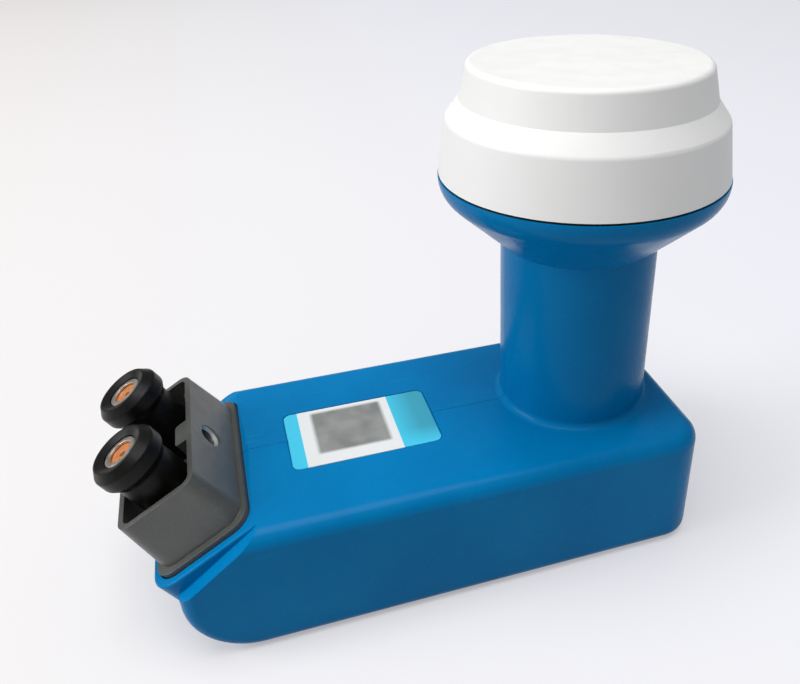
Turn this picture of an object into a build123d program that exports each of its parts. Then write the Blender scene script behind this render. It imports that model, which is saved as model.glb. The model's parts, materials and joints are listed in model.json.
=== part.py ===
"""Twin-output satellite LNB: a low-noise block downconverter with a 40 mm clamping neck.

The blue case is two moulded halves that close round a die-cast chassis. The chassis carries the round
waveguide, the grooved feed horn and the circuit board. A grey connector block on the slanted end holds
two coaxial sockets under rubber boots. A white cap closes the horn.

Frame: origin on the neck axis at the underside of the case, +Z up along the neck, -X towards the sockets.
Lengths are millimetres, angles are degrees.
"""
import os
from math import copysign, cos, radians, sin, tan

from build123d import *

os.makedirs("parts", exist_ok=True)

# Case sizes
neck_d = 40.0
neck_length = 46.0
case_width = 64.0
case_height = 36.3
case_wall = 2.2
blunt_reach = 5.8
slant_reach = 68.9
slant_deg = 38.0
chin_reach = 21.1
chin_land = 2.8
blunt_corner_r = 9.0
top_edge_r = 4.5
bottom_edge_r = 3.6
roof_fall_deg = 1.8
neck_root_r = 2.0
seam_gap = 0.12
rib_width = 2.0
rib_height = 1.2
rib_front_inset = 23.5
rib_middle_inset = 63.0
rib_end_inset = 10.0

# Bowl and cap sizes
bowl_rim_d = 70.8
bowl_rise_deg = 42.0
bowl_bend_r = 7.1
bowl_band = 0.4
cap_seal_thick = 0.6
cap_setback = 0.2
cap_skirt_height = 13.1
cap_skirt_draw = 1.9
cap_shoulder_height = 4.4
cap_shoulder_draw = 3.3
cap_crown_height = 8.1
cap_crown_draw = 1.9
cap_wall = 1.8
cap_spigot_depth = 2.4
cap_shoulder_r = 2.0
cap_top_r = 1.4

# Slanted outlet sizes
outlet_tilt_deg = 59.3
flange_set = 2.5
flange_rise = 1.5
flange_proud = 1.2
flange_length = 25.8
flange_corner_r = 4.5
flange_thick = 3.6
collar_ledge = 4.15
collar_frame = 2.3
collar_overlap = 5.3
collar_corner_r = 6.5
collar_depth = 14.0
collar_edge_r = 0.6
outlet_reach = 16.0
hood_end_lip = 0.95
hood_side_lip = 1.6
hood_height = 15.0
hood_corner_r = 4.8
hood_draft_deg = 5.0
hood_wall = 1.5
bay_floor = 1.0
block_back = 5.0
ground_hole_d = 5.2
ground_hole_up = 8.6
ground_hole_depth = 6.0
ground_boss_width = 8.0
ground_boss_reach = 7.0
ground_boss_up = 14.0
ground_boss_r = 1.0

# Socket, boot and block screw sizes
socket_d = 9.4
socket_bore_d = 6.4
socket_up = 26.1
hex_flats = 11.0
hex_thick = 3.0
insulator_recess = 0.6
contact_d = 1.2
contact_recess = 0.8
socket_port_d = 11.6
boot_clear = 1.9
boot_body_d = 13.8
boot_head_d = 16.6
boot_rim_d = 13.4
boot_mouth_d = 11.2
boot_eye_d = 8.6
boot_eye_lip = 0.3
boot_lip = 0.9
boot_head_length = 7.0
boot_front_bevel = 2.0
boot_rear_bevel = 2.0
boot_edge_r = 0.5
block_screw_d = 2.0
block_screw_head_d = 3.0
block_screw_head = 1.3
block_post_r = 2.1
block_post_up = 11.0
block_screw_end_inset = 4.2
block_screw_side_inset = 4.8

# Chassis sizes
chassis_wall = 2.0
chassis_corner_r = 3.0
chassis_side_gap = 1.5
chassis_end_gap = 1.6
chassis_roof_gap = 2.6
tray_setback = 3.7
nose_seat = 2.4
nose_corner_r = 2.0
nose_foot_inset = 13.4
pad_thick = 3.0
gasket_thick = 0.8
waveguide_bore_d = 17.5
waveguide_wall = 2.6
horn_mouth_drop = 2.4
horn_dish = 4.0
horn_floor = 1.2
horn_rim_wall = 1.6
horn_groove = 2.8
horn_pitch = 5.0

# Cover, board and small inner sizes
cover_thick = 1.8
backshort_depth = 7.0
cover_boss_d = 6.4
cover_boss_clear = 1.9
cover_screw_front_inset = 10.0
cover_screw_end_inset = 18.0
cover_screw_d = 2.5
cover_screw_head_d = 4.6
cover_screw_head = 1.0
cover_screw_stop = 2.0
board_thick = 1.6
board_drop = 11.0
board_edge_gap = 1.0
board_nose_reach = 2.5
board_post_d = 6.0
board_post_front_inset = 12.0
board_post_end_inset = 7.0
board_post_side_inset = 9.0
board_screw_d = 2.2
board_screw_head_d = 4.2
board_screw_head = 1.4
board_screw_bite = 6.0
probe_width = 2.0
probe_reach = 5.5
chip_size = (7.0, 6.0, 1.6)
resonator_d = 6.0
resonator_thick = 2.6
resonator_set = 12.0
resonator_pitch = 22.0
tuner_d = 4.0
tuner_gap = 1.2

# Label sizes
label_set = 28.6
label_length = 38.4
label_width = 23.6
label_thick = 0.35
label_corner_r = 2.0
label_recess = 0.75

# Clearances
fit = 0.3
slip = 0.05

# Case places
blunt_end_x = neck_d / 2 + blunt_reach
slant_top_x = -neck_d / 2 - slant_reach
chin_x = slant_top_x - chin_reach
chin_r = case_height - chin_reach * tan(radians(slant_deg)) - chin_land
label_centre_x = slant_top_x + label_set

# Bowl and cap levels: the flare's straight side ends where the bend to the upright rim begins
rise = radians(bowl_rise_deg)
bowl_start_z = case_height + neck_length
bend_centre_r = bowl_rim_d / 2 - bowl_bend_r
flare_run = bend_centre_r + bowl_bend_r * sin(rise) - neck_d / 2
bend_centre_z = bowl_start_z + flare_run * tan(rise) + bowl_bend_r * cos(rise)
bowl_rim_z = bend_centre_z + bowl_band
cap_bottom_z = bowl_rim_z + cap_seal_thick
cap_shoulder_z = cap_bottom_z + cap_skirt_height
cap_step_z = cap_shoulder_z + cap_shoulder_height
cap_top_z = cap_step_z + cap_crown_height
cap_bottom_r = bowl_rim_d / 2 - cap_setback
cap_shoulder_edge_r = cap_bottom_r - cap_skirt_draw
cap_step_r = cap_shoulder_edge_r - cap_shoulder_draw
cap_top_edge_r = cap_step_r - cap_crown_draw
cap_spigot_r = bowl_rim_d / 2 - case_wall - fit
cap_spigot_z = cap_bottom_z - cap_spigot_depth
horn_mouth_z = bowl_rim_z - horn_mouth_drop
horn_throat_z = horn_mouth_z - horn_dish

# Connector block sizes that follow the case's width
flange_width = case_width - 2 * (collar_ledge + collar_frame)
hood_length = flange_length - 2 * hood_end_lip
hood_width = flange_width - 2 * hood_side_lip
nose_length = flange_length - 2 * nose_seat
nose_width = flange_width - 2 * nose_seat
hood_draw = hood_height * tan(radians(hood_draft_deg))
socket_pitch = hood_width - 2 * (hood_wall + hood_draw + boot_clear) - boot_body_d
boot_up = socket_up + boot_lip
nose_face = block_back + gasket_thick
hex_top = bay_floor + hex_thick

# Chassis, cover and board places, from the case's inside
cover_bottom_z = case_wall + rib_height
cover_top_z = cover_bottom_z + cover_thick
chassis_bottom_z = cover_top_z + gasket_thick
chassis_top_z = case_height - case_wall - chassis_roof_gap
chassis_height = chassis_top_z - chassis_bottom_z
chassis_roof_z = chassis_top_z - chassis_wall
chassis_width = case_width - 2 * (case_wall + chassis_side_gap)
chassis_end_x = blunt_end_x - case_wall - chassis_end_gap
tray_front_x = slant_top_x + tray_setback
tray_length = chassis_end_x - tray_front_x
tray_centre_x = (chassis_end_x + tray_front_x) / 2
nose_foot_x = chin_x + nose_foot_inset
board_top_z = chassis_roof_z - board_drop
board_bottom_z = board_top_z - board_thick
board_nose_x = nose_foot_x - board_nose_reach
cover_boss_up = board_bottom_z - cover_boss_clear - chassis_bottom_z
cover_screw_bite = cover_boss_up - cover_screw_stop
waveguide_d = waveguide_bore_d + 2 * waveguide_wall
cover_screw_front_x = tray_front_x + cover_screw_front_inset
cover_screw_end_x = chassis_end_x - cover_screw_end_inset
cover_screw_places = (cover_screw_front_x, (cover_screw_front_x + cover_screw_end_x) / 2, cover_screw_end_x)
cover_screw_across = chassis_width / 2 - chassis_wall - cover_boss_d / 4
cover_screw_spots = [(x, y) for x in cover_screw_places for y in (-cover_screw_across, cover_screw_across)]
board_post_places = (tray_front_x + board_post_front_inset, chassis_end_x - board_post_end_inset)
board_post_across = chassis_width / 2 - board_post_side_inset
board_post_spots = [(x, y) for x in board_post_places for y in (-board_post_across, board_post_across)]
rib_places = (tray_front_x + rib_front_inset, tray_front_x + rib_middle_inset, chassis_end_x - rib_end_inset)
chip_offsets = ((-30.0, 8.0), (-30.0, -8.0), (-54.0, 0.0), (8.0, 14.0), (8.0, -14.0))
chip_places = [(tray_centre_x + along, across) for along, across in chip_offsets]
resonator_x = tray_centre_x - resonator_set
resonator_places = [(resonator_x, across) for across in (-resonator_pitch / 2, resonator_pitch / 2)]

# Outlet frame: x runs down the slope, y points to the near side, z points out along the sockets
outward = Vector(-cos(radians(outlet_tilt_deg)), 0, sin(radians(outlet_tilt_deg)))
downslope = Vector(-sin(radians(outlet_tilt_deg)), 0, -cos(radians(outlet_tilt_deg)))
slant_top = Vector(slant_top_x, 0, case_height)
outlet_centre = slant_top + outward * flange_rise + downslope * (flange_set + flange_length / 2)
outlet = Plane(origin=outlet_centre, x_dir=downslope, z_dir=outward)
socket_spots = {"near": (0, socket_pitch / 2), "far": (0, -socket_pitch / 2)}
block_screw_down = hood_length / 2 - block_screw_end_inset
block_screw_across = hood_width / 2 - block_screw_side_inset
block_screw_spots = [
    (down, across)
    for down in (-block_screw_down, block_screw_down)
    for across in (-block_screw_across, block_screw_across)
]
roof = Plane(
    origin=(0, 0, case_height),
    z_dir=(0, -sin(radians(roof_fall_deg)), cos(radians(roof_fall_deg))),
)
slant = Plane(origin=slant_top, z_dir=(-sin(radians(slant_deg)), 0, cos(radians(slant_deg))))


def finish(piece, name):
    """Labels a finished piece and writes it."""
    piece.part.label = name
    export_step(piece.part, f"parts/{name}.step")


def mid_plane_point(down, out):
    """A point of the mid plane in X and Z, from its place down the slope and out along the sockets."""
    spot = outlet_centre + downslope * down + outward * out
    return (spot.X, spot.Z)


def case_outline():
    """Side view of the case before its slanted end is cut: a box with a rounded chin."""
    with BuildLine() as outline:
        Polyline(
            (chin_x + chin_r, 0),
            (blunt_end_x, 0),
            (blunt_end_x, case_height),
            (chin_x, case_height),
            (chin_x, chin_r),
        )
        TangentArc((chin_x + chin_r, 0), (chin_x, chin_r), tangent=(-1, 0))
    return outline.edges()


def rim_edges(face):
    """Edges of a level face, without the one on the seam and the one nearest the sockets."""
    return [edge for edge in face.edges().sort_by(Axis.X)[1:] if edge.center().Y < -seam_gap]


def case_block(inset):
    """Near half of the case's long body, as a solid drawn inwards by inset."""
    with BuildPart() as block:
        with BuildSketch(Plane.XZ):
            make_face(case_outline())
            if inset > 0:
                offset(amount=-inset, kind=Kind.INTERSECTION, mode=Mode.REPLACE)
        extrude(amount=case_width / 2 - inset)
        upright = block.edges().filter_by(Axis.Z).group_by(Axis.Y)[0].sort_by(Axis.X)[-1]
        fillet(upright, blunt_corner_r - inset)
        underside = block.faces().sort_by(lambda face: face.normal_at().Z)[0]
        fillet(rim_edges(underside), bottom_edge_r - inset)
        split(bisect_by=roof.offset(-inset), keep=Keep.BOTTOM)
        split(bisect_by=slant.offset(-inset), keep=Keep.BOTTOM)
        top = block.faces().sort_by(lambda face: face.normal_at().Z)[-1]
        fillet(rim_edges(top), top_edge_r - inset)
    return block.part


def flare_outline(inset, floor_z):
    """Half section of the neck and its flared bowl, drawn inwards by inset."""
    inner_r = neck_d / 2 - inset
    start_z = bowl_start_z + inset * (cos(rise) - (1 - sin(rise)) * tan(rise))
    bend_r = bowl_bend_r - inset
    turn = 90 - bowl_rise_deg
    with BuildLine() as outline:
        bend = CenterArc((bend_centre_r, bend_centre_z), bend_r, -turn, turn)
        Polyline(bend @ 1, (bend_centre_r + bend_r, bowl_rim_z), (0, bowl_rim_z), (0, floor_z))
        Polyline((0, floor_z), (inner_r, floor_z), (inner_r, start_z), bend @ 0)
    return outline.edges()


case_outside = case_block(0)
case_inside = case_block(case_wall)

# Raised collar round the outlet, which runs out into the roof at its upper end
with BuildPart() as collar:
    with BuildSketch(outlet.offset(-flange_proud)):
        with Locations(((collar_frame - collar_overlap) / 2, 0)):
            RectangleRounded(
                flange_length + collar_frame + collar_overlap,
                flange_width + 2 * collar_frame,
                collar_corner_r,
            )
    extrude(amount=-collar_depth)
    collar_face = collar.faces().sort_by(Axis(outlet_centre, outward))[-1]
    fillet(collar_face.edges(), collar_edge_r)
    split(bisect_by=roof, keep=Keep.BOTTOM)

# Near half of the case: long body, slanted collar, neck and bowl, split on the mid plane
with BuildPart() as case_near_half:
    add(case_outside)
    add(collar.part)
    with BuildSketch(Plane.XZ):
        make_face(flare_outline(0, case_height / 2))
    revolve(axis=Axis.Z)
    add(case_inside, mode=Mode.SUBTRACT)
    with BuildSketch(Plane.XZ):
        make_face(flare_outline(case_wall, case_height / 2))
    revolve(axis=Axis.Z, mode=Mode.SUBTRACT)
    with BuildSketch(outlet):
        RectangleRounded(flange_length + 2 * fit, flange_width + 2 * fit, flange_corner_r + fit)
    extrude(amount=-flange_thick, mode=Mode.SUBTRACT)
    with BuildSketch(outlet):
        Rectangle(nose_length + 2 * fit, nose_width + 2 * fit)
    extrude(amount=-outlet_reach, mode=Mode.SUBTRACT)
    with BuildSketch(Plane.XY.offset(case_height - label_recess)):
        with Locations((label_centre_x, 0)):
            RectangleRounded(label_length + 2 * fit, label_width + 2 * fit, label_corner_r + fit)
    extrude(amount=2 * label_recess, mode=Mode.SUBTRACT)
    # Ribs that carry the chassis and keep it from the side wall
    wall_middle = (case_width - case_wall) / 2
    side_rib = wall_middle - chassis_width / 2 - fit
    for rib_x in rib_places:
        with BuildSketch(Plane.XY.offset(case_wall / 2)):
            with Locations((rib_x, -wall_middle)):
                Rectangle(rib_width, side_rib, align=(Align.CENTER, Align.MIN))
        extrude(amount=chassis_roof_z - case_wall / 2)
        with BuildSketch(Plane.XY.offset(case_wall / 2)):
            with Locations((rib_x, -wall_middle)):
                Rectangle(rib_width, wall_middle, align=(Align.CENTER, Align.MIN))
        extrude(amount=cover_bottom_z - case_wall / 2)
    split(bisect_by=Plane.XZ.offset(seam_gap / 2), keep=Keep.TOP)
    root = [
        edge
        for edge in case_near_half.edges()
        if abs(Vector(edge.position_at(0.5).X, edge.position_at(0.5).Y).length - neck_d / 2) < slip
        and abs(edge.position_at(0.5).Z - case_height) < 1
    ]
    fillet(root, neck_root_r)
finish(case_near_half, "case_near_half")

with BuildPart() as case_far_half:
    mirror(case_near_half.part, about=Plane.XZ)
finish(case_far_half, "case_far_half")

# White cap over the horn, turned, with a spigot inside the bowl, a sloped shoulder and a stepped crown
with BuildPart() as feed_cap:
    with BuildSketch(Plane.XZ) as cap_section:
        with BuildLine():
            Polyline(
                (0, cap_spigot_z),
                (cap_spigot_r, cap_spigot_z),
                (cap_spigot_r, cap_bottom_z),
                (cap_bottom_r, cap_bottom_z),
                (cap_shoulder_edge_r, cap_shoulder_z),
                (cap_step_r, cap_step_z),
                (cap_top_edge_r, cap_top_z),
                (0, cap_top_z),
                close=True,
            )
        make_face()
        shoulder = cap_section.vertices().sort_by_distance((cap_shoulder_edge_r, cap_shoulder_z))[0]
        fillet(shoulder, cap_shoulder_r)
        top_edge = cap_section.vertices().sort_by_distance((cap_top_edge_r, cap_top_z))[0]
        fillet(top_edge, cap_top_r)
    revolve(axis=Axis.Z)
    with BuildSketch(Plane.XZ):
        with BuildLine():
            Polyline(
                (0, cap_spigot_z),
                (cap_spigot_r - cap_wall, cap_spigot_z),
                (cap_spigot_r - cap_wall, cap_bottom_z + cap_wall),
                (cap_shoulder_edge_r - cap_wall, cap_shoulder_z - cap_wall),
                (cap_step_r - cap_wall, cap_step_z - cap_wall),
                (cap_top_edge_r - cap_wall, cap_top_z - cap_wall),
                (0, cap_top_z - cap_wall),
                close=True,
            )
        make_face()
    revolve(axis=Axis.Z, mode=Mode.SUBTRACT)
finish(feed_cap, "feed_cap")

# Flat rubber ring between the cap and the bowl's rim
with BuildPart() as cap_seal:
    with BuildSketch(Plane.XY.offset(bowl_rim_z)):
        Circle(cap_bottom_r - fit)
        Circle(bowl_rim_d / 2 - case_wall, mode=Mode.SUBTRACT)
    extrude(amount=cap_seal_thick)
finish(cap_seal, "cap_seal")


def plan_face(inset):
    """Plan of the chassis: the tray and its narrower nose, drawn inwards by inset."""
    with Locations((tray_centre_x, 0)):
        RectangleRounded(tray_length - 2 * inset, chassis_width - 2 * inset, chassis_corner_r - inset)
    with Locations((nose_foot_x + inset, 0)):
        Rectangle(
            tray_front_x + chassis_wall + 2 * inset - nose_foot_x,
            nose_width - 2 * inset,
            align=(Align.MIN, Align.CENTER),
        )


def nose_outline(inset, back, roof_z):
    """Side view of the chassis nose, which ends square to the sockets."""
    reach = nose_length / 2 - inset
    joint_x = tray_front_x + 2 * chassis_wall
    with BuildLine() as outline:
        Polyline(
            (joint_x, chassis_bottom_z),
            (joint_x, roof_z),
            mid_plane_point(-reach, -back),
            mid_plane_point(reach, -back),
            (nose_foot_x + inset, chassis_bottom_z),
            close=True,
        )
    return outline.edges()


def groove_floor_z(groove_r):
    """Level of the floor of a horn groove, a casting's thickness above the inside of the bowl."""
    spread = max(0, groove_r + horn_groove - neck_d / 2 + case_wall + fit)
    return bowl_start_z + spread * tan(rise) + (case_wall + fit + horn_floor) / cos(rise)


# Die-cast chassis: tray, slanted nose, waveguide and grooved horn in one casting
with BuildPart() as chassis:
    with BuildSketch(Plane.XY.offset(chassis_bottom_z)):
        with Locations((tray_centre_x, 0)):
            RectangleRounded(tray_length, chassis_width, chassis_corner_r)
    extrude(amount=chassis_height)
    with BuildSketch(Plane.XZ):
        make_face(nose_outline(0, nose_face, chassis_top_z))
    extrude(amount=nose_width / 2, both=True)
    with BuildSketch(Plane.XY.offset(chassis_bottom_z)):
        with Locations((tray_centre_x, 0)):
            RectangleRounded(
                tray_length - 2 * chassis_wall,
                chassis_width - 2 * chassis_wall,
                chassis_corner_r - chassis_wall,
            )
    extrude(amount=chassis_height - chassis_wall, mode=Mode.SUBTRACT)
    with BuildSketch(Plane.XZ):
        make_face(nose_outline(chassis_wall, nose_face + pad_thick, chassis_roof_z))
    extrude(amount=nose_width / 2 - chassis_wall, both=True, mode=Mode.SUBTRACT)
    with BuildSketch(Plane.XY.offset(chassis_bottom_z)):
        with Locations(*cover_screw_spots):
            Circle(cover_boss_d / 2)
    extrude(amount=cover_boss_up)
    with BuildSketch(Plane.XY.offset(board_top_z)):
        with Locations(*board_post_spots):
            Circle(board_post_d / 2)
    extrude(amount=chassis_roof_z - board_top_z)
    with BuildSketch(Plane.XZ):
        make_face(flare_outline(case_wall + fit, bowl_start_z))
    revolve(axis=Axis.Z)
    split(bisect_by=Plane.XY.offset(horn_mouth_z), keep=Keep.BOTTOM)
    with BuildSketch(Plane.XY.offset(board_top_z)):
        Circle(waveguide_d / 2)
    extrude(amount=bowl_start_z - board_top_z)
    # Mouth of the horn, a shallow cone from the throat to the rim
    horn_rim_r = bowl_rim_d / 2 - case_wall - fit - horn_rim_wall
    with BuildSketch(Plane.XZ):
        with BuildLine():
            Polyline(
                (0, horn_throat_z),
                (waveguide_d / 2, horn_throat_z),
                (horn_rim_r, horn_mouth_z),
                (0, horn_mouth_z),
                close=True,
            )
        make_face()
    revolve(axis=Axis.Z, mode=Mode.SUBTRACT)
    # Ring grooves, as deep as the flare below them allows
    groove_r = waveguide_d / 2
    while groove_floor_z(groove_r) < horn_mouth_z - horn_groove:
        with BuildSketch(Plane.XY.offset(groove_floor_z(groove_r))):
            Circle(groove_r + horn_groove)
            Circle(groove_r, mode=Mode.SUBTRACT)
        extrude(amount=horn_mouth_z - groove_floor_z(groove_r), mode=Mode.SUBTRACT)
        groove_r += horn_pitch
    with BuildSketch(Plane.XY.offset(board_top_z)):
        Circle(waveguide_bore_d / 2)
    extrude(amount=horn_mouth_z - board_top_z, mode=Mode.SUBTRACT)
    with BuildSketch(outlet.offset(-nose_face)):
        with Locations(*socket_spots.values()):
            Circle(socket_port_d / 2)
        with Locations(*block_screw_spots):
            Circle(block_screw_d / 2 + slip)
    extrude(amount=-pad_thick, mode=Mode.SUBTRACT)
    with BuildSketch(Plane.XY.offset(chassis_bottom_z)):
        with Locations(*cover_screw_spots):
            Circle(cover_screw_d / 2 + slip)
    extrude(amount=cover_screw_bite, mode=Mode.SUBTRACT)
    with BuildSketch(Plane.XY.offset(board_top_z)):
        with Locations(*board_post_spots):
            Circle(board_screw_d / 2 + slip)
    extrude(amount=board_screw_bite, mode=Mode.SUBTRACT)
finish(chassis, "chassis")

# Gasket frame between the chassis and its cover
with BuildPart() as cover_gasket:
    with BuildSketch(Plane.XY.offset(cover_top_z)):
        plan_face(0)
    extrude(amount=gasket_thick)
    with BuildSketch(Plane.XY.offset(cover_top_z)):
        plan_face(chassis_wall)
    extrude(amount=gasket_thick, mode=Mode.SUBTRACT)
finish(cover_gasket, "cover_gasket")

# Bottom cover with the short-circuit cup that ends the waveguide
with BuildPart() as bottom_cover:
    with BuildSketch(Plane.XY.offset(cover_bottom_z)):
        plan_face(0)
    extrude(amount=cover_thick)
    with BuildSketch(Plane.XY.offset(cover_top_z)):
        Circle(waveguide_d / 2)
    extrude(amount=board_bottom_z - cover_top_z)
    with BuildSketch(Plane.XY.offset(board_bottom_z)):
        Circle(waveguide_bore_d / 2)
    extrude(amount=-backshort_depth, mode=Mode.SUBTRACT)
    with BuildSketch(Plane.XY.offset(cover_bottom_z)):
        with Locations(*cover_screw_spots):
            Circle(cover_screw_d / 2 + fit)
        with Locations(*resonator_places):
            Circle(tuner_d / 2 + slip)
    extrude(amount=cover_thick, mode=Mode.SUBTRACT)
finish(bottom_cover, "bottom_cover")

# Screws that hold the cover, driven from below
with BuildPart() as cover_screws:
    with BuildSketch(Plane.XY.offset(cover_bottom_z)):
        with Locations(*cover_screw_spots):
            Circle(cover_screw_head_d / 2)
    extrude(amount=-cover_screw_head)
    with BuildSketch(Plane.XY.offset(cover_bottom_z)):
        with Locations(*cover_screw_spots):
            Circle(cover_screw_d / 2)
    extrude(amount=cover_thick + gasket_thick + cover_screw_bite - fit)
finish(cover_screws, "cover_screws")

# Tuning screws through the cover, one under each resonator
with BuildPart() as tuning_screws:
    with BuildSketch(Plane.XY.offset(cover_bottom_z)):
        with Locations(*resonator_places):
            Circle(tuner_d / 2)
    extrude(amount=board_bottom_z - resonator_thick - tuner_gap - cover_bottom_z)
finish(tuning_screws, "tuning_screws")

# Ceramic resonators on the underside of the board
with BuildPart() as resonators:
    with BuildSketch(Plane.XY.offset(board_bottom_z)):
        with Locations(*resonator_places):
            Circle(resonator_d / 2)
    extrude(amount=-resonator_thick)
finish(resonators, "resonators")

# Circuit board, with two probe tongues that reach into the waveguide at right angles
with BuildPart() as circuit_board:
    with BuildSketch(Plane.XY.offset(board_bottom_z)):
        with Locations((tray_centre_x, 0)):
            board_inset = 2 * (chassis_wall + board_edge_gap)
            Rectangle(tray_length - board_inset, chassis_width - board_inset)
        with Locations((board_nose_x, 0)):
            Rectangle(
                tray_front_x + board_inset - board_nose_x,
                nose_width - board_inset,
                align=(Align.MIN, Align.CENTER),
            )
        Circle(waveguide_bore_d / 2, mode=Mode.SUBTRACT)
        probe_root = waveguide_d / 2
        with Locations((-probe_root, 0)):
            Rectangle(waveguide_wall + probe_reach, probe_width, align=(Align.MIN, Align.CENTER))
        with Locations((0, -probe_root)):
            Rectangle(probe_width, waveguide_wall + probe_reach, align=(Align.CENTER, Align.MIN))
        with Locations(*board_post_spots):
            Circle(board_screw_d / 2 + fit, mode=Mode.SUBTRACT)
    extrude(amount=board_thick)
finish(circuit_board, "circuit_board")

with BuildPart() as board_screws:
    with BuildSketch(Plane.XY.offset(board_bottom_z)):
        with Locations(*board_post_spots):
            Circle(board_screw_head_d / 2)
    extrude(amount=-board_screw_head)
    with BuildSketch(Plane.XY.offset(board_bottom_z)):
        with Locations(*board_post_spots):
            Circle(board_screw_d / 2)
    extrude(amount=board_thick + board_screw_bite - fit)
finish(board_screws, "board_screws")

with BuildPart() as board_chips:
    chip_length, chip_width, chip_thick = chip_size
    with BuildSketch(Plane.XY.offset(board_top_z)):
        with Locations(*chip_places):
            Rectangle(chip_length, chip_width)
    extrude(amount=chip_thick)
finish(board_chips, "board_chips")

# Space inside the connector hood, less the corner posts and the earth screw boss
with BuildPart() as hood_bay:
    inner_step = 2 * (hood_wall + bay_floor * tan(radians(hood_draft_deg)))
    with BuildSketch(outlet.offset(bay_floor)):
        RectangleRounded(hood_length - inner_step, hood_width - inner_step, hood_corner_r - hood_wall)
    extrude(amount=hood_height - bay_floor, taper=hood_draft_deg)
    post_size = hood_length / 2
    with BuildSketch(outlet.offset(bay_floor)):
        for down, across in block_screw_spots:
            shift = post_size / 2 - block_post_r
            with Locations((down + copysign(shift, down), across + copysign(shift, across))):
                RectangleRounded(post_size, post_size, block_post_r - slip)
    extrude(amount=block_post_up - bay_floor, mode=Mode.SUBTRACT)
    with BuildSketch(outlet.offset(bay_floor)):
        with Locations((-hood_length / 2, 0)):
            RectangleRounded(2 * ground_boss_reach, ground_boss_width, ground_boss_r)
    extrude(amount=ground_boss_up - bay_floor, mode=Mode.SUBTRACT)

# Grey die-cast connector block: flange, drafted hood with an open bay, corner posts and earth screw boss
with BuildPart() as connector_block:
    with BuildSketch(outlet):
        RectangleRounded(flange_length, flange_width, flange_corner_r)
    extrude(amount=-flange_thick)
    with BuildSketch(outlet.offset(-flange_thick)):
        RectangleRounded(nose_length, nose_width, nose_corner_r)
    extrude(amount=flange_thick - block_back)
    with BuildSketch(outlet):
        RectangleRounded(hood_length, hood_width, hood_corner_r)
    extrude(amount=hood_height, taper=hood_draft_deg)
    add(hood_bay.part, mode=Mode.SUBTRACT)
    with BuildSketch(outlet.offset(-block_back)):
        with Locations(*socket_spots.values()):
            Circle(socket_d / 2 + slip)
        with Locations(*block_screw_spots):
            Circle(block_screw_d / 2 + fit)
    extrude(amount=block_back + block_post_up, mode=Mode.SUBTRACT)
    earth_hole = Plane(
        origin=outlet_centre + outward * ground_hole_up - downslope * (hood_length / 2),
        x_dir=(0, 1, 0),
        z_dir=downslope,
    )
    with BuildSketch(earth_hole):
        Circle(ground_hole_d / 2)
    extrude(amount=ground_hole_depth, mode=Mode.SUBTRACT)
finish(connector_block, "connector_block")

# Gasket between the connector block and the chassis nose
with BuildPart() as block_gasket:
    with BuildSketch(outlet.offset(-nose_face)):
        RectangleRounded(nose_length, nose_width, nose_corner_r)
        with Locations(*socket_spots.values()):
            Circle(socket_port_d / 2, mode=Mode.SUBTRACT)
        with Locations(*block_screw_spots):
            Circle(block_screw_d / 2 + fit, mode=Mode.SUBTRACT)
    extrude(amount=gasket_thick)
finish(block_gasket, "block_gasket")

# Screws in the corner posts, which clamp the block to the chassis nose
with BuildPart() as block_screws:
    with BuildSketch(outlet.offset(block_post_up)):
        with Locations(*block_screw_spots):
            Circle(block_screw_head_d / 2)
    extrude(amount=block_screw_head)
    with BuildSketch(outlet.offset(block_post_up)):
        with Locations(*block_screw_spots):
            Circle(block_screw_d / 2)
    extrude(amount=-(block_post_up + nose_face + pad_thick))
finish(block_screws, "block_screws")

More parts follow.
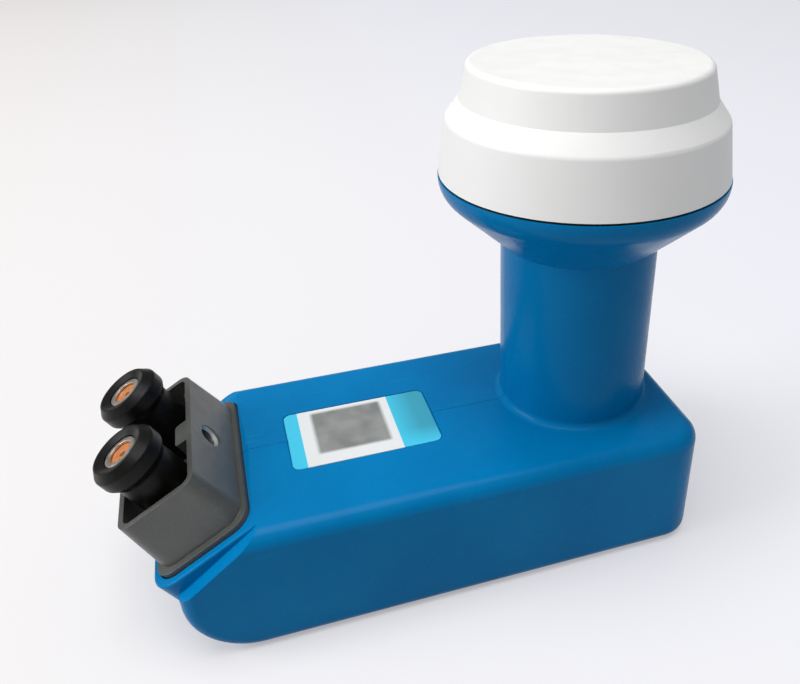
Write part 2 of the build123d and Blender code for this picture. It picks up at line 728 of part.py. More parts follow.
# Two coaxial sockets, each with its insulator, centre contact and rubber boot
for side, spot in socket_spots.items():
    with BuildPart() as socket:
        with BuildSketch(outlet.offset(-block_back)):
            with Locations(spot):
                Circle(socket_d / 2)
        extrude(amount=block_back + socket_up)
        with BuildSketch(outlet.offset(bay_floor)):
            with Locations(spot):
                RegularPolygon(hex_flats / 2, 6, major_radius=False)
        extrude(amount=hex_thick)
        with BuildSketch(outlet.offset(-block_back)):
            with Locations(spot):
                Circle(socket_bore_d / 2)
        extrude(amount=block_back + socket_up, mode=Mode.SUBTRACT)
    finish(socket, f"socket_{side}")

    with BuildPart() as insulator:
        with BuildSketch(outlet.offset(-block_back)):
            with Locations(spot):
                Circle(socket_bore_d / 2 - slip)
                Circle(contact_d / 2 + slip, mode=Mode.SUBTRACT)
        extrude(amount=block_back + socket_up - insulator_recess)
    finish(insulator, f"insulator_{side}")

    with BuildPart() as contact:
        with BuildSketch(outlet.offset(socket_up - contact_recess)):
            with Locations(spot):
                Circle(contact_d / 2)
        extrude(amount=-(socket_up + outlet_centre.Z / outward.Z))
        split(bisect_by=Plane.XY.offset(board_top_z), keep=Keep.TOP)
    finish(contact, f"contact_{side}")

    boot_axis = Plane(
        origin=outlet.from_local_coords(Vector(*spot, 0)),
        x_dir=(0, 1, 0),
        z_dir=-downslope,
    )
    with BuildPart() as boot:
        with BuildSketch(boot_axis) as boot_section:
            with BuildLine():
                head_start = boot_up - boot_head_length
                Polyline(
                    (socket_d / 2 + slip, hex_top),
                    (boot_body_d / 2, hex_top),
                    (boot_body_d / 2, head_start),
                    (boot_head_d / 2, head_start + boot_rear_bevel),
                    (boot_head_d / 2, boot_up - boot_front_bevel),
                    (boot_rim_d / 2, boot_up),
                    (boot_mouth_d / 2, boot_up),
                    (boot_eye_d / 2, socket_up + slip + boot_eye_lip),
                    (boot_eye_d / 2, socket_up + slip),
                    (socket_d / 2 + slip, socket_up + slip),
                    close=True,
                )
            make_face()
            fillet(boot_section.vertices().group_by(Axis.X)[-1], boot_edge_r)
            fillet(boot_section.vertices().group_by(Axis.Y)[-1].sort_by(Axis.X)[-1:], boot_edge_r)
        revolve(axis=Axis(boot_axis.origin, outward))
    finish(boot, f"boot_{side}")

# Label plate in the recess of the case's top
with BuildPart() as label_plate:
    with BuildSketch(Plane.XY.offset(case_height - label_recess)):
        with Locations((label_centre_x, 0)):
            RectangleRounded(label_length, label_width, label_corner_r)
    extrude(amount=label_thick)
finish(label_plate, "label_plate")
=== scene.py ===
"""Studio picture of a twin-output satellite LNB: finishes, fine detail, light and camera."""
import json
from math import cos, radians, sin

import bpy
from mathutils import Matrix, Vector


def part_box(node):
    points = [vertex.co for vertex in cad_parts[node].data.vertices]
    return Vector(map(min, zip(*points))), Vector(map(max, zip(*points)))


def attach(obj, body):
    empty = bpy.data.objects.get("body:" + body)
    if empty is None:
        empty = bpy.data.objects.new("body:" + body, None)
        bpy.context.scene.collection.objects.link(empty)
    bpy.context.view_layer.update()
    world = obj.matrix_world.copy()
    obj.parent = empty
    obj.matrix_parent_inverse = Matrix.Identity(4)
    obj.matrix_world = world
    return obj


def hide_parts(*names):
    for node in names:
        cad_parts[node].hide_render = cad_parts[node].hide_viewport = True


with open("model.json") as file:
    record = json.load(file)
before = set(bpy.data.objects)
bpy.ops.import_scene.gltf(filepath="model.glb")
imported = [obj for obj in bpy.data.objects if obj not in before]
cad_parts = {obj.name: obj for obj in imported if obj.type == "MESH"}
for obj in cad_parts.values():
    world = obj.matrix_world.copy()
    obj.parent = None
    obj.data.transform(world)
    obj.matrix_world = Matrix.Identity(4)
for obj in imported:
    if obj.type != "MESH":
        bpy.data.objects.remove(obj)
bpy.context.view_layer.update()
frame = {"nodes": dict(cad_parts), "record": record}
nodes = frame["nodes"]

MM = 0.001

# Camera, from the photograph's frame of 800 by 684 pixels
PHOTO_WIDTH = 800
PHOTO_HEIGHT = 684
FOCAL_PIXELS = 808.96
CENTRE_PIXEL = (478.32, 336.26)
CAMERA_PLACE = Vector((-82.59, -172.85, 167.13)) * MM
CAMERA_DOWN = radians(31.13)
CAMERA_TURN = radians(-17.73)
CAMERA_ROLL = radians(-0.85)
CAMERA_NEAREST = 10 * MM
SENSOR_MM = 36.0

# Floor: its tint cools along X and its glow rises along Y, each over a stretch in metres
FLOOR_SIZE = 24.0
FLOOR_GAP = 0.05 * MM
FLOOR_WARM = (0.48, 0.465, 0.459, 1)
FLOOR_COOL = (0.484, 0.488, 0.518, 1)
FLOOR_TINT_STRETCH = (-0.25, 0.15)
FLOOR_GLOW = (0.76, 0.95)
FLOOR_GLOW_STRETCH = (0.1, 0.9)

# Light: the sky's strength at the horizon and overhead, and round lamps in metres and watts
SKY_COLOUR = (0.98, 0.99, 1.0, 1)
SKY_STRENGTH = (0.17, 0.44)
LAMP_AIM = Vector((-0.03, 0, 0.05))
OVERHEAD = {"place": Vector((-0.15, -0.12, 1.3)), "size": 1.0, "power": 11.0}
LEFT_WINDOW = {"place": Vector((-1.15, 0.08, 0.66)), "size": 0.8, "power": 8.5}

# Rounded edges of the moulded and cast pieces
CASE_EDGE = 0.25 * MM
BLOCK_EDGE = 0.35 * MM
LABEL_EDGE = 0.1 * MM
EDGE_SEGMENTS = 3
EDGE_ANGLE = radians(28)
MERGE_GAP = 0.002 * MM
FLAT_ANGLE = radians(0.4)

# Angles up to which faces are shaded as one
CRISP_SHADING = radians(35)
GENTLE_SHADING = radians(40)

# Tests that pick edges and faces
RING_SLACK = 0.02 * MM
LEVEL_SLACK = 0.01 * MM
FACING = 0.9
UP, DOWN = 1, -1


def linear(red, green, blue):
    """A colour written as sRGB values from 0 to 255, as a linear RGBA."""
    def channel(value):
        share = value / 255
        return share / 12.92 if share <= 0.04045 else ((share + 0.055) / 1.055) ** 2.4

    return (channel(red), channel(green), channel(blue), 1)


# Materials
class Finish:
    """A procedural material on Object coordinates, with short helpers for its nodes."""

    def __init__(self, name):
        self.material = bpy.data.materials.new(name)
        self.material.use_nodes = True
        self.tree = self.material.node_tree
        self.shader = self.tree.nodes["Principled BSDF"]
        self.place = self.tree.nodes.new("ShaderNodeTexCoord").outputs["Object"]

    def node(self, kind, **settings):
        made = self.tree.nodes.new(kind)
        for key, value in settings.items():
            setattr(made, key, value)
        return made

    def link(self, source, target):
        self.tree.links.new(source, target)

    def axes(self):
        """The place of each point of the surface, split into X, Y and Z."""
        split = self.node("ShaderNodeSeparateXYZ")
        self.link(self.place, split.inputs["Vector"])
        return split.outputs

    def noise(self, per_metre, detail=4, roughness=0.55, stretch=(1, 1, 1)):
        """Noise with about per_metre lumps in a metre."""
        mapping = self.node("ShaderNodeMapping")
        mapping.inputs["Scale"].default_value = stretch
        self.link(self.place, mapping.inputs["Vector"])
        texture = self.node("ShaderNodeTexNoise")
        texture.inputs["Scale"].default_value = per_metre
        texture.inputs["Detail"].default_value = detail
        texture.inputs["Roughness"].default_value = roughness
        self.link(mapping.outputs["Vector"], texture.inputs["Vector"])
        return texture.outputs["Fac"]

    def spread(self, source, low, high, from_low=0.35, from_high=0.65):
        """Maps a stretch of the source's values, by default the middle of a noise, onto a range."""
        ranged = self.node("ShaderNodeMapRange")
        ranged.inputs["From Min"].default_value = from_low
        ranged.inputs["From Max"].default_value = from_high
        ranged.inputs["To Min"].default_value = low
        ranged.inputs["To Max"].default_value = high
        self.link(source, ranged.inputs["Value"])
        return ranged.outputs["Result"]

    def math(self, operation, first, second):
        worked = self.node("ShaderNodeMath", operation=operation)
        self.link(first, worked.inputs[0])
        self.link(second, worked.inputs[1])
        return worked.outputs["Value"]

    def mix(self, factor, first, second):
        """Mixes two colours, each a tuple or a socket."""
        mixer = self.node("ShaderNodeMix", data_type="RGBA")
        self.link(factor, mixer.inputs["Factor"])
        for socket, colour in ((mixer.inputs["A"], first), (mixer.inputs["B"], second)):
            if isinstance(colour, tuple):
                socket.default_value = colour
            else:
                self.link(colour, socket)
        return mixer.outputs["Result"]

    def clouds(self, dark, light, **lumps):
        """Two tones that drift into each other."""
        return self.mix(self.spread(self.noise(**lumps), 0, 1), dark, light)

    def flecks(self, body, tone, window, **lumps):
        """A tone over the body's colour where a noise rises through a window of values."""
        return self.mix(self.spread(self.noise(**lumps), 0, 1, *window), body, tone)

    def colour(self, source):
        self.link(source, self.shader.inputs["Base Color"])

    def gloss(self, low, high, per_metre):
        """Roughness that wanders between two values."""
        self.link(self.spread(self.noise(per_metre), low, high), self.shader.inputs["Roughness"])

    def relief(self, height, strength, **lumps):
        """Bump from a noise, with its height in metres."""
        bump = self.node("ShaderNodeBump")
        bump.inputs["Distance"].default_value = height
        bump.inputs["Strength"].default_value = strength
        self.link(self.noise(**lumps), bump.inputs["Height"])
        self.link(bump.outputs["Normal"], self.shader.inputs["Normal"])

    def sockets(self, **values):
        """Values that are the same all over the surface."""
        for key, value in values.items():
            self.shader.inputs[key.replace("_", " ")].default_value = value


def blue_plastic():
    """Moulded case, with faint scuffs along its length."""
    finish = Finish("blue_plastic")
    body = finish.clouds(linear(0, 112, 170), linear(2, 121, 180), per_metre=26, detail=5)
    scuffed = finish.flecks(
        body, linear(8, 130, 185), window=(0.66, 0.78), per_metre=900, detail=3, stretch=(0.06, 1, 1)
    )
    finish.colour(scuffed)
    finish.gloss(0.21, 0.29, per_metre=160)
    finish.relief(0.03 * MM, strength=0.3, per_metre=2600, detail=2)
    finish.sockets(Specular_IOR_Level=0.07)
    return finish.material


def white_plastic():
    """Moulded cap, with a little dust."""
    finish = Finish("white_plastic")
    body = finish.clouds(linear(237, 237, 235), linear(241, 241, 240), per_metre=30, detail=5)
    dusty = finish.flecks(
        body, linear(216, 214, 209), window=(0.68, 0.82), per_metre=700, detail=6, roughness=0.7
    )
    finish.colour(dusty)
    finish.gloss(0.40, 0.52, per_metre=220)
    finish.relief(0.03 * MM, strength=0.25, per_metre=2200, detail=2)
    finish.sockets(Specular_IOR_Level=0.4)
    return finish.material


def grey_casting():
    """Painted die casting, with fine grit."""
    finish = Finish("grey_casting")
    body = finish.clouds(linear(72, 74, 72), linear(81, 83, 80), per_metre=70)
    gritty = finish.flecks(
        body, linear(96, 97, 94), window=(0.5, 0.8), per_metre=2400, roughness=0.7
    )
    finish.colour(gritty)
    finish.gloss(0.30, 0.38, per_metre=420)
    finish.relief(0.05 * MM, strength=0.3, per_metre=2000, roughness=0.6)
    finish.sockets(Specular_IOR_Level=0.7)
    return finish.material


def bare_casting():
    """Die casting as it leaves the mould."""
    finish = Finish("bare_casting")
    body = finish.clouds(
        linear(176, 177, 178), linear(204, 205, 205), per_metre=120, detail=6, roughness=0.65
    )
    finish.colour(body)
    finish.gloss(0.34, 0.52, per_metre=380)
    finish.relief(0.06 * MM, strength=0.4, per_metre=1400, detail=5, roughness=0.6)
    finish.sockets(Metallic=0.65)
    return finish.material


def black_rubber():
    """Boots and seals, with a pale bloom here and there."""
    finish = Finish("black_rubber")
    body = finish.clouds(
        linear(8, 8, 7), linear(14, 13, 12), per_metre=180, detail=6, roughness=0.6
    )
    bloomed = finish.flecks(
        body, linear(26, 25, 23), window=(0.6, 0.8), per_metre=520, detail=5, roughness=0.7
    )
    finish.colour(bloomed)
    finish.gloss(0.32, 0.44, per_metre=500)
    finish.relief(0.04 * MM, strength=0.3, per_metre=1900)
    finish.sockets(Specular_IOR_Level=0.2)
    return finish.material


def bright_nickel():
    """Plating of the sockets."""
    finish = Finish("bright_nickel")
    finish.colour(finish.clouds(linear(208, 198, 186), linear(226, 218, 208), per_metre=300))
    finish.gloss(0.26, 0.38, per_metre=700)
    finish.relief(0.02 * MM, strength=0.2, per_metre=2400, detail=3)
    finish.sockets(Metallic=1.0)
    return finish.material


def zinc_steel():
    """Screws, zinc plated."""
    finish = Finish("zinc_steel")
    body = finish.clouds(linear(190, 184, 168), linear(214, 208, 194), per_metre=420, detail=5)
    finish.colour(body)
    finish.gloss(0.20, 0.36, per_metre=900)
    finish.relief(0.03 * MM, strength=0.25, per_metre=2600, detail=3)
    finish.sockets(Metallic=1.0)
    return finish.material


def amber_insulator():
    """Plastic that holds the centre contacts."""
    finish = Finish("amber_insulator")
    body = finish.clouds(linear(178, 102, 52), linear(198, 124, 70), per_metre=420, detail=5)
    finish.colour(body)
    finish.gloss(0.30, 0.42, per_metre=700)
    finish.relief(0.03 * MM, strength=0.25, per_metre=2600, detail=3)
    return finish.material


def contact_brass():
    """Centre contacts."""
    finish = Finish("contact_brass")
    finish.colour(finish.clouds(linear(196, 158, 84), linear(222, 186, 110), per_metre=600))
    finish.gloss(0.2, 0.32, per_metre=900)
    finish.sockets(Metallic=1.0)
    return finish.material


def board_laminate():
    """Circuit board, with the weave under its green mask."""
    finish = Finish("board_laminate")
    weave = finish.clouds(
        linear(16, 92, 52), linear(28, 112, 64), per_metre=900, detail=3, stretch=(1, 4, 1)
    )
    finish.colour(weave)
    finish.gloss(0.3, 0.42, per_metre=300)
    finish.relief(0.03 * MM, strength=0.3, per_metre=1800, detail=3)
    return finish.material


def chip_epoxy():
    """Housings of the chips."""
    finish = Finish("chip_epoxy")
    finish.colour(finish.clouds(linear(24, 24, 25), linear(38, 38, 39), per_metre=700, detail=5))
    finish.gloss(0.5, 0.64, per_metre=900)
    finish.relief(0.04 * MM, strength=0.35, per_metre=2400)
    return finish.material


def fired_ceramic():
    """Resonator pucks."""
    finish = Finish("fired_ceramic")
    body = finish.clouds(linear(164, 128, 96), linear(188, 152, 118), per_metre=800, detail=5)
    finish.colour(body)
    finish.gloss(0.55, 0.7, per_metre=900)
    finish.relief(0.05 * MM, strength=0.4, per_metre=2000, detail=5)
    return finish.material


# Label: cyan film that turns teal at one end, with a white band and a soft grey field on it.
# Its layout is in shares of its length, along X, and of its width, across Y.
LABEL_CYAN = linear(68, 198, 230)
LABEL_TEAL = linear(60, 160, 184)
LABEL_WHITE = linear(226, 228, 228)
LABEL_GREY = linear(126, 127, 125)
LABEL_SHADE = linear(146, 147, 145)
BAND_ALONG = (0.095, 0.735)
BAND_BLUR = 0.1 * MM
FIELD_ALONG = (0.185, 0.675)
FIELD_ACROSS = (0.185, 0.935)
FIELD_BLUR = 1.1 * MM
TEAL_ALONG = (0.7, 0.9)
TEAL_ACROSS = (0.02, 0.3)


def label_film():
    """Printed film of the label."""
    low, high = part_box("label_plate")
    finish = Finish("label_film")
    axes = finish.axes()

    def at(axis, share):
        """Place of a share of the label's length or width, in metres."""
        start, end = getattr(low, axis.lower()), getattr(high, axis.lower())
        return start + share * (end - start)

    def rise(axis, shares):
        """0 before the first share along an axis and 1 after the second."""
        return finish.spread(axes[axis], 0, 1, at(axis, shares[0]), at(axis, shares[1]))

    def inside(axis, shares, blur):
        """1 between two shares along an axis, with edges as wide as blur."""
        start, end = at(axis, shares[0]), at(axis, shares[1])
        first = finish.spread(axes[axis], 0, 1, start - blur / 2, start + blur / 2)
        last = finish.spread(axes[axis], 1, 0, end - blur / 2, end + blur / 2)
        return finish.math("MULTIPLY", first, last)

    band = inside("X", BAND_ALONG, BAND_BLUR)
    field = finish.math(
        "MULTIPLY", inside("X", FIELD_ALONG, FIELD_BLUR), inside("Y", FIELD_ACROSS, FIELD_BLUR)
    )
    teal = finish.math("MULTIPLY", rise("X", TEAL_ALONG), rise("Y", TEAL_ACROSS))
    film = finish.mix(teal, LABEL_CYAN, LABEL_TEAL)
    greys = finish.clouds(LABEL_GREY, LABEL_SHADE, per_metre=190, detail=1)
    finish.colour(finish.mix(band, film, finish.mix(field, LABEL_WHITE, greys)))
    finish.gloss(0.28, 0.36, per_metre=240)
    finish.relief(0.02 * MM, strength=0.2, per_metre=1200, detail=2)
    finish.sockets(Specular_IOR_Level=0.3)
    return finish.material


FINISHES = {
    "blue_case": blue_plastic(),
    "white_cap": white_plastic(),
    "grey_casting": grey_casting(),
    "bare_casting": bare_casting(),
    "black_rubber": black_rubber(),
    "bright_nickel": bright_nickel(),
    "amber_insulator": amber_insulator(),
    "contact_brass": contact_brass(),
    "screw_steel": zinc_steel(),
    "board_laminate": board_laminate(),
    "chip_epoxy": chip_epoxy(),
    "ceramic": fired_ceramic(),
    "label_film": label_film(),
}
NODE_SLOTS = {entry["node"]: entry["material_slot"] for entry in frame["record"]["subparts"]}


def dress(piece, slot):
    """Gives a piece the finish of a material slot."""
    piece.data.materials.clear()
    piece.data.materials.append(FINISHES[slot])


for name, piece in nodes.items():
    dress(piece, NODE_SLOTS[name])


# Ways of working
def select_only(*pieces):
    """Selects these pieces alone, with the first one active."""
    bpy.ops.object.select_all(action="DESELECT")
    for piece in pieces:
        piece.select_set(True)
    bpy.context.view_layer.objects.active = pieces[0]


def settle(piece):
    """Writes a piece's place, turn and scale into its mesh."""
    select_only(piece)
    bpy.ops.object.transform_apply(location=True, rotation=True, scale=True)


def start_from(primitive, scale=(1, 1, 1), **settings):
    """Adds a primitive with nothing else selected, and settles it."""
    bpy.ops.object.select_all(action="DESELECT")
    primitive(**settings)
    piece = bpy.context.object
    piece.scale = scale
    settle(piece)
    return piece


def lay(piece, place):
    """Lays a piece that was modelled upright at the origin in its place."""
    piece.matrix_world = place
    settle(piece)


def cut(piece, cutter):
    """Cuts the cutter's shape out of a piece, and removes the cutter."""
    select_only(piece)
    recess = piece.modifiers.new("recess", "BOOLEAN")
    recess.operation = "DIFFERENCE"
    recess.object = cutter
    bpy.ops.object.modifier_apply(modifier=recess.name)
    bpy.data.objects.remove(cutter)


def join(*pieces):
    """Joins pieces into the first one."""
    select_only(*pieces)
    bpy.ops.object.join()


def twin(piece, name):
    """A copy of a piece with a mesh of its own."""
    copy = piece.copy()
    copy.data = piece.data.copy()
    copy.name = name
    bpy.context.scene.collection.objects.link(copy)
    return copy


def stand_in(piece, node):
    """Lets a finished piece stand for a CAD node, with the node's finish."""
    dress(piece, NODE_SLOTS[node])
    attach(piece, "root")
    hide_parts(node)


def even_shading(piece, angle):
    """Smooth shading up to an angle, with flat faces kept flat."""
    select_only(piece)
    bpy.ops.object.shade_smooth_by_angle(angle=angle)
    normals = piece.modifiers.new("flat_faces", "WEIGHTED_NORMAL")
    normals.keep_sharp = True
    bpy.ops.object.modifier_apply(modifier=normals.name)


def unpick(mesh):
    """Deselects every vertex, edge and face of a mesh."""
    for parts in (mesh.vertices, mesh.edges, mesh.polygons):
        for part in parts:
            part.select = False


def pick_facing(piece, way):
    """Opens edit mode with the faces that face up or down selected."""
    unpick(piece.data)
    for face in piece.data.polygons:
        face.select = face.normal.z * way > FACING
    select_only(piece)
    bpy.ops.object.mode_set(mode="EDIT")
    bpy.ops.mesh.select_mode(type="FACE")


def turned_ring(name, outline, segments=96):
    """A ring turned from (radius, height) points in millimetres, drawn out point by point."""
    radius, height = outline[0]
    piece = start_from(
        bpy.ops.mesh.primitive_circle_add,
        vertices=segments,
        radius=radius * MM,
        location=(0, 0, height * MM),
    )
    piece.name = name
    bpy.ops.object.mode_set(mode="EDIT")
    bpy.ops.mesh.select_all(action="SELECT")
    for (radius, height), (next_radius, next_height) in zip(outline, outline[1:]):
        rise = (0, 0, (next_height - height) * MM)
        bpy.ops.mesh.extrude_edges_move(TRANSFORM_OT_translate={"value": rise})
        share = next_radius / radius
        bpy.ops.transform.resize(
            value=(share, share, 1), center_override=(0, 0, next_height * MM)
        )
    bpy.ops.mesh.select_all(action="DESELECT")
    bpy.ops.mesh.select_mode(type="EDGE")
    bpy.ops.mesh.select_non_manifold()
    bpy.ops.mesh.bridge_edge_loops()
    bpy.ops.mesh.select_all(action="SELECT")
    bpy.ops.mesh.normals_make_consistent(inside=False)
    bpy.ops.object.mode_set(mode="OBJECT")
    return piece


def round_rings(piece, rings, width, segments):
    """Rounds the edges round a turned piece at (radius, height) points, in millimetres."""
    mesh = piece.data

    def on_ring(place):
        return any(
            abs(place.xy.length - radius * MM) < RING_SLACK
            and abs(place.z - height * MM) < RING_SLACK
            for radius, height in rings
        )

    places = [vertex.co for vertex in mesh.vertices]
    picked = [on_ring(place) for place in places]
    unpick(mesh)
    for edge in mesh.edges:
        start, end = edge.vertices
        level = abs(places[start].z - places[end].z) < LEVEL_SLACK
        edge.select = picked[start] and picked[end] and level
    select_only(piece)
    bpy.ops.object.mode_set(mode="EDIT")
    bpy.ops.mesh.select_mode(type="EDGE")
    bpy.ops.mesh.bevel(offset=width * MM, segments=segments, affect="EDGES")
    bpy.ops.object.mode_set(mode="OBJECT")


def thread_ridge(crest, start, turns, pitch):
    """A three-sided ridge wound up from a start, with its crest at a radius, in millimetres."""
    reach, sink, squash = 0.52 * pitch, 0.36 * pitch, 0.7
    ridge = start_from(
        bpy.ops.mesh.primitive_circle_add,
        scale=(1, squash, 1),
        vertices=3,
        radius=reach * MM,
        location=((crest - sink) * MM, 0, start * MM),
        rotation=(radians(90), radians(90), 0),
    )
    winding = ridge.modifiers.new("winding", "SCREW")
    winding.axis = "Z"
    winding.steps = winding.render_steps = 48
    winding.iterations = turns
    winding.screw_offset = pitch * MM
    winding.use_merge_vertices = False
    bpy.ops.object.modifier_apply(modifier=winding.name)
    bpy.ops.object.mode_set(mode="EDIT")
    bpy.ops.mesh.select_all(action="SELECT")
    bpy.ops.mesh.fill_holes(sides=3)
    bpy.ops.mesh.normals_make_consistent(inside=False)
    bpy.ops.object.mode_set(mode="OBJECT")
    return ridge


# Case, connector block and label: the CAD shapes with rounded edges
def soften(node, width):
    """A copy of a node with merged faces and rounded edges, which stands for it."""
    piece = twin(nodes[node], f"{node}_soft")
    for key in list(piece.keys()):
        del piece[key]
    piece.parent = None
    select_only(piece)
    bpy.ops.mesh.customdata_custom_splitnormals_clear()
    bpy.ops.object.mode_set(mode="EDIT")
    bpy.ops.mesh.select_all(action="SELECT")
    bpy.ops.mesh.remove_doubles(threshold=MERGE_GAP)
    bpy.ops.mesh.dissolve_limited(angle_limit=FLAT_ANGLE)
    bpy.ops.object.mode_set(mode="OBJECT")
    bevel = piece.modifiers.new("edges", "BEVEL")
    bevel.width = width
    bevel.segments = EDGE_SEGMENTS
    bevel.limit_method = "ANGLE"
    bevel.angle_limit = EDGE_ANGLE
    bpy.ops.object.modifier_apply(modifier=bevel.name)
    even_shading(piece, GENTLE_SHADING)
    stand_in(piece, node)
    return piece


MOUNTS = {mount["name"]: mount for mount in frame["record"]["mounts"]}


def earth_hole(block):
    """Countersinks and taps the earth hole in the hood's upper wall, and seats a bright ring."""
    mount = MOUNTS["earth_screw"]
    outward = Vector(mount["axis"]).normalized()
    mouth = Vector(mount["pos_m"]) + outward * mount["dims"]["length_mm"] / 2 * MM
    turn = Vector((0, 0, 1)).rotation_difference(outward).to_matrix().to_4x4()
    place = Matrix.Translation(mouth) @ turn
    bottom_r, top_r, sink_long, sink_middle = 2.45 * MM, 4.05 * MM, 1.6 * MM, -0.15 * MM

    sink = start_from(
        bpy.ops.mesh.primitive_cone_add,
        vertices=64,
        radius1=bottom_r,
        radius2=top_r,
        depth=sink_long,
        location=(0, 0, sink_middle),
    )
    lay(sink, place)
    cut(block, sink)
    thread = thread_ridge(crest=2.66, start=-4.7, turns=6, pitch=0.6)
    lay(thread, place)
    dress(thread, "grey_casting")
    join(block, thread)
    even_shading(block, GENTLE_SHADING)

    face_low, face_high = (2.44, -0.9), (3.08, -0.26)
    back_high, back_low = (3.2, -0.32), (2.6, -1.0)
    ring = turned_ring("earth_seat", [face_low, face_high, back_high, back_low], segments=64)
    lay(ring, place)
    even_shading(ring, CRISP_SHADING)
    dress(ring, "bare_casting")
    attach(ring, "root")


# Outlet: x down the slope, y to the near side, z out along the sockets, heights in millimetres
SOCKET_TOP = 26.1
SOCKET_FOOT = -4.95
SOCKET_ENDS = {side: Vector(MOUNTS[f"coax_port_{side}"]["pos_m"]) for side in ("near", "far")}
OUTWARD = Vector(MOUNTS["coax_port_near"]["axis"]).normalized()
NEARWARD = Vector((0, -1, 0))
DOWNSLOPE = NEARWARD.cross(OUTWARD)
OUTLET_TURN = Matrix((DOWNSLOPE, NEARWARD, OUTWARD)).transposed().to_4x4()
OUTLETS = {side: end - OUTWARD * (SOCKET_TOP * MM) for side, end in SOCKET_ENDS.items()}
OUTLET_CENTRE = (OUTLETS["near"] + OUTLETS["far"]) / 2


def set_down(piece, foot):
    """Sets a piece down on the slanted outlet."""
    lay(piece, Matrix.Translation(foot) @ OUTLET_TURN)


def pair_up(piece, name):
    """Sets down a piece and its twin at the near and the far socket."""
    for side, part in (("near", piece), ("far", twin(piece, f"{name}_far_piece"))):
        part.name = f"{name}_{side}_piece"
        set_down(part, OUTLETS[side])
        stand_in(part, f"{name}_{side}")


def rubber_boots():
    """Weather boots: a plain sleeve, a bevelled head and a dished mouth round the socket."""
    bore_foot, sleeve_foot, sleeve_top = (4.75, 4.05), (6.9, 4.05), (6.9, 20.0)
    head_low, head_high = (8.3, 22.0), (8.3, 25.0)
    rim_outer, rim_inner = (6.7, 27.0), (6.2, 27.0)
    lip_top, lip_under, bore_top = (4.4, 26.25), (4.4, 26.15), (4.75, 26.15)
    boot = turned_ring(
        "boot_near_piece",
        [
            bore_foot, sleeve_foot, sleeve_top, head_low, head_high,
            rim_outer, rim_inner, lip_top, lip_under, bore_top,
        ],
        segments=112,
    )
    round_rings(boot, [sleeve_top, head_low, head_high], width=0.3, segments=4)
    round_rings(boot, [rim_outer, rim_inner], width=0.15, segments=3)
    even_shading(boot, CRISP_SHADING)
    pair_up(boot, "boot")


def hex_shoulder(across_flats, bottom, thick, corner):
    """The socket's six-sided shoulder, with its corners rounded, in millimetres."""
    half_side = radians(30)
    shoulder = start_from(
        bpy.ops.mesh.primitive_cylinder_add,
        vertices=6,
        radius=across_flats / 2 / cos(half_side) * MM,
        depth=thick * MM,
        location=(0, 0, (bottom + thick / 2) * MM),
        rotation=(0, 0, half_side),
    )
    corners = shoulder.modifiers.new("corners", "BEVEL")
    corners.width = corner * MM
    corners.segments = 3
    bpy.ops.object.modifier_apply(modifier=corners.name)
    return shoulder


def threaded_sockets():
    """Coaxial sockets: a chamfered barrel, its thread and its six-sided shoulder."""
    wall_foot, chamfer_low, chamfer_top = (4.3, SOCKET_FOOT), (4.3, 25.9), (4.15, SOCKET_TOP)
    mouth_top, mouth_low = (2.95, SOCKET_TOP), (2.9, 25.6)
    bore_top, bore_foot = (3.25, 25.55), (3.25, SOCKET_FOOT)
    barrel = turned_ring(
        "socket_near_piece",
        [wall_foot, chamfer_low, chamfer_top, mouth_top, mouth_low, bore_top, bore_foot],
    )
    round_rings(barrel, [chamfer_top, mouth_top], width=0.1, segments=3)
    ridge = thread_ridge(crest=4.66, start=8.0, turns=21, pitch=0.794)
    shoulder = hex_shoulder(across_flats=10.96, bottom=1.02, thick=2.94, corner=0.25)
    join(barrel, ridge, shoulder)
    even_shading(barrel, CRISP_SHADING)
    pair_up(barrel, "socket")


def dished_insulators():
    """Insulators with a rounded edge and a small dish round the contact."""
    hole_foot, wall_foot = (0.66, SOCKET_FOOT), (3.14, SOCKET_FOOT)
    wall_top, face_outer, face_inner = (3.14, 25.2), (2.95, 25.45), (1.5, 25.48)
    dish_edge, hole_top = (0.95, 25.35), (0.66, 25.2)
    insulator = turned_ring(
        "insulator_near_piece",
        [hole_foot, wall_foot, wall_top, face_outer, face_inner, dish_edge, hole_top],
    )
    round_rings(insulator, [wall_top, face_outer, dish_edge], width=0.1, segments=3)
    even_shading(insulator, GENTLE_SHADING)
    pair_up(insulator, "insulator")


def recess_bar(head_top, turn):
    """One tapered bar of the cross that is cut into a screw's head."""
    width, length, height = 0.42, 1.8, 1.3
    depth, taper = 0.75, 0.55
    floor_up = head_top - depth * MM
    bar = start_from(
        bpy.ops.mesh.primitive_cube_add,
        scale=(width, length, height),
        size=MM,
        location=(0, 0, floor_up + height / 2 * MM),
        rotation=(0, 0, turn),
    )
    pick_facing(bar, DOWN)
    bpy.ops.transform.resize(value=(taper, taper, 1), center_override=(0, 0, floor_up))
    bpy.ops.object.mode_set(mode="OBJECT")
    return bar


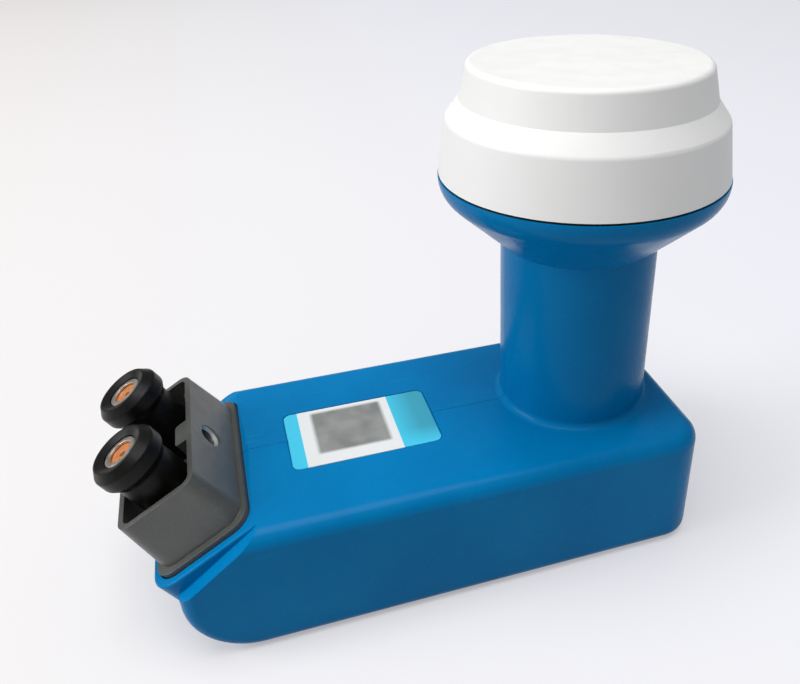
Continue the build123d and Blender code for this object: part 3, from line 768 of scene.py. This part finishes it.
def cross_screws():
    """Four pan-head screws with cross recesses in the hood's corner posts."""
    head_r, head_up, dome = 1.5 * MM, 1.3 * MM, 0.55 * MM
    shank_r, shank_long = 0.98 * MM, 19.7 * MM
    recess_turns = (radians(20), radians(110))
    post_up, post_down, post_near = 11.0 * MM, 7.75 * MM, 19.15 * MM
    screw = start_from(
        bpy.ops.mesh.primitive_cylinder_add,
        vertices=48,
        radius=head_r,
        depth=head_up,
        location=(0, 0, head_up / 2),
    )
    screw.name = "block_screws_piece"
    pick_facing(screw, UP)
    bpy.ops.mesh.bevel(offset=dome, segments=5, affect="EDGES")
    bpy.ops.object.mode_set(mode="OBJECT")
    pick_facing(screw, DOWN)
    bpy.ops.mesh.inset(thickness=head_r - shank_r)
    bpy.ops.mesh.extrude_region_move(TRANSFORM_OT_translate={"value": (0, 0, -shank_long)})
    bpy.ops.object.mode_set(mode="OBJECT")
    for turn in recess_turns:
        cut(screw, recess_bar(head_up, turn))
    even_shading(screw, CRISP_SHADING)
    posts = [
        OUTLET_CENTRE + DOWNSLOPE * down + NEARWARD * near + OUTWARD * post_up
        for down in (-post_down, post_down)
        for near in (-post_near, post_near)
    ]
    others = [twin(screw, f"block_screw_{count}") for count in range(2, len(posts) + 1)]
    for part, post in zip([screw, *others], posts):
        set_down(part, post)
    join(screw, *others)
    stand_in(screw, "block_screws")


soften("case_near_half", CASE_EDGE)
soften("case_far_half", CASE_EDGE)
earth_hole(soften("connector_block", BLOCK_EDGE))
soften("label_plate", LABEL_EDGE)
rubber_boots()
threaded_sockets()
dished_insulators()
cross_screws()


# Ground, light and camera
def ground():
    """A pale floor, whose own glow shows to the camera and in reflections only."""
    bpy.ops.object.select_all(action="DESELECT")
    bpy.ops.mesh.primitive_plane_add(size=FLOOR_SIZE, location=(0, 0, -FLOOR_GAP))
    floor = bpy.context.object
    floor.name = "floor"
    finish = Finish("pale_floor")
    axes = finish.axes()
    cooling = finish.spread(axes["X"], 0, 1, *FLOOR_TINT_STRETCH)
    tint = finish.mix(cooling, FLOOR_WARM, FLOOR_COOL)
    finish.colour(tint)
    finish.sockets(Roughness=0.75, Specular_IOR_Level=0.25)
    rays = finish.node("ShaderNodeLightPath").outputs
    seen = rays["Is Camera Ray"]
    for other in ("Is Glossy Ray", "Is Transmission Ray"):
        seen = finish.math("MAXIMUM", seen, rays[other])
    strength = finish.spread(axes["Y"], *FLOOR_GLOW, *FLOOR_GLOW_STRETCH)
    glow = finish.math("MULTIPLY", seen, strength)
    finish.link(tint, finish.shader.inputs["Emission Color"])
    finish.link(glow, finish.shader.inputs["Emission Strength"])
    floor.data.materials.append(finish.material)


def soft_lamp(name, place, size, power):
    """A round lamp that faces the object."""
    lamp = bpy.data.lights.new(name, "AREA")
    lamp.shape = "DISK"
    lamp.size = size
    lamp.energy = power
    holder = bpy.data.objects.new(name, lamp)
    holder.location = place
    holder.rotation_euler = (LAMP_AIM - place).to_track_quat("-Z", "Y").to_euler()
    bpy.context.scene.collection.objects.link(holder)


def lighting():
    """A sky that grows stronger from the horizon up, and two soft lamps."""
    world = bpy.data.worlds.new("studio")
    world.use_nodes = True
    tree = world.node_tree
    background = tree.nodes["Background"]
    background.inputs["Color"].default_value = SKY_COLOUR
    looking = tree.nodes.new("ShaderNodeTexCoord")
    split = tree.nodes.new("ShaderNodeSeparateXYZ")
    rise = tree.nodes.new("ShaderNodeMapRange")
    rise.inputs["To Min"].default_value, rise.inputs["To Max"].default_value = SKY_STRENGTH
    tree.links.new(looking.outputs["Generated"], split.inputs["Vector"])
    tree.links.new(split.outputs["Z"], rise.inputs["Value"])
    tree.links.new(rise.outputs["Result"], background.inputs["Strength"])
    bpy.context.scene.world = world
    soft_lamp("overhead", **OVERHEAD)
    soft_lamp("left_window", **LEFT_WINDOW)


def camera():
    """A camera at the photograph's place, with its lens and framing."""
    forward = Vector((
        -sin(CAMERA_TURN) * cos(CAMERA_DOWN),
        cos(CAMERA_TURN) * cos(CAMERA_DOWN),
        -sin(CAMERA_DOWN),
    ))
    level = Vector((cos(CAMERA_TURN), sin(CAMERA_TURN), 0))
    upright = level.cross(forward)
    right = level * cos(CAMERA_ROLL) + upright * sin(CAMERA_ROLL)
    up = upright * cos(CAMERA_ROLL) - level * sin(CAMERA_ROLL)
    lens = bpy.data.cameras.new("camera")
    lens.sensor_width = SENSOR_MM
    lens.lens = FOCAL_PIXELS * SENSOR_MM / PHOTO_WIDTH
    lens.shift_x = (PHOTO_WIDTH / 2 - CENTRE_PIXEL[0]) / PHOTO_WIDTH
    lens.shift_y = (CENTRE_PIXEL[1] - PHOTO_HEIGHT / 2) / PHOTO_WIDTH
    lens.clip_start = CAMERA_NEAREST
    holder = bpy.data.objects.new("camera", lens)
    turn = Matrix((right, up, -forward)).transposed().to_4x4()
    holder.matrix_world = Matrix.Translation(CAMERA_PLACE) @ turn
    bpy.context.scene.collection.objects.link(holder)
    bpy.context.scene.camera = holder


ground()
lighting()
camera()
bpy.context.scene.view_settings.view_transform = "Standard"
